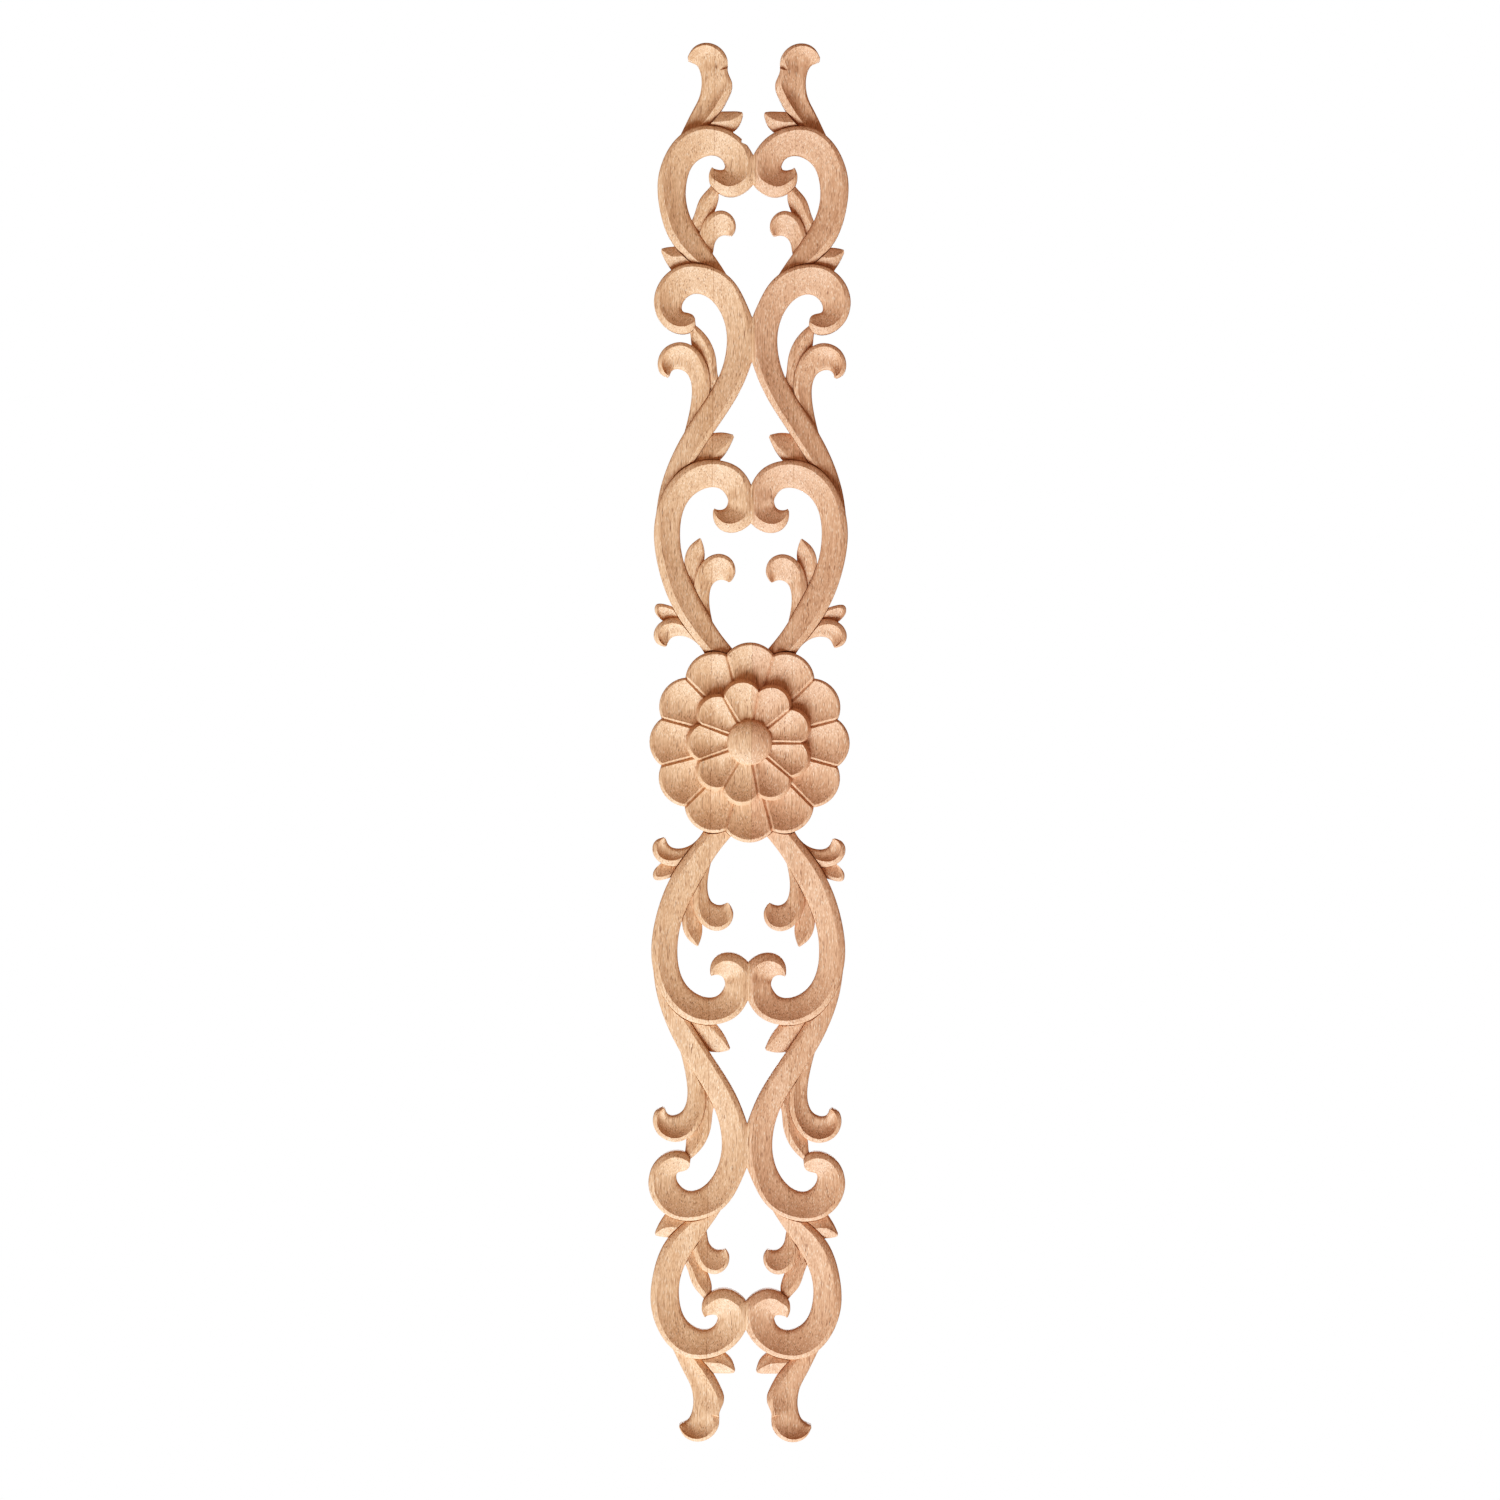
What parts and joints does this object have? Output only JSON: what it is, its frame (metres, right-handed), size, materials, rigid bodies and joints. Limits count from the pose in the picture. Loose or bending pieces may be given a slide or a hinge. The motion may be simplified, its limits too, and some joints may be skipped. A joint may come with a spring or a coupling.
{
  "type": "carved openwork furniture onlay",
  "caption": "Long symmetrical openwork wooden onlay: mirrored C and S scrolls with lobes and small leaves, and a two-ring petalled rosette in the middle. Flat back for fixing to a surface.",
  "frame": {"origin": "middle of the rosette, on the flat back face", "axes": "+Z along the length, -Y out of the carved front, +Y out of the flat back, +X across the width"},
  "size_m": [0.1146, 0.016, 0.8],
  "materials": {
    "wood": "unfinished, sanded"
  },
  "bodies": {
    "root": {"carved_onlay": "wood"}
  },
  "joints": []
}
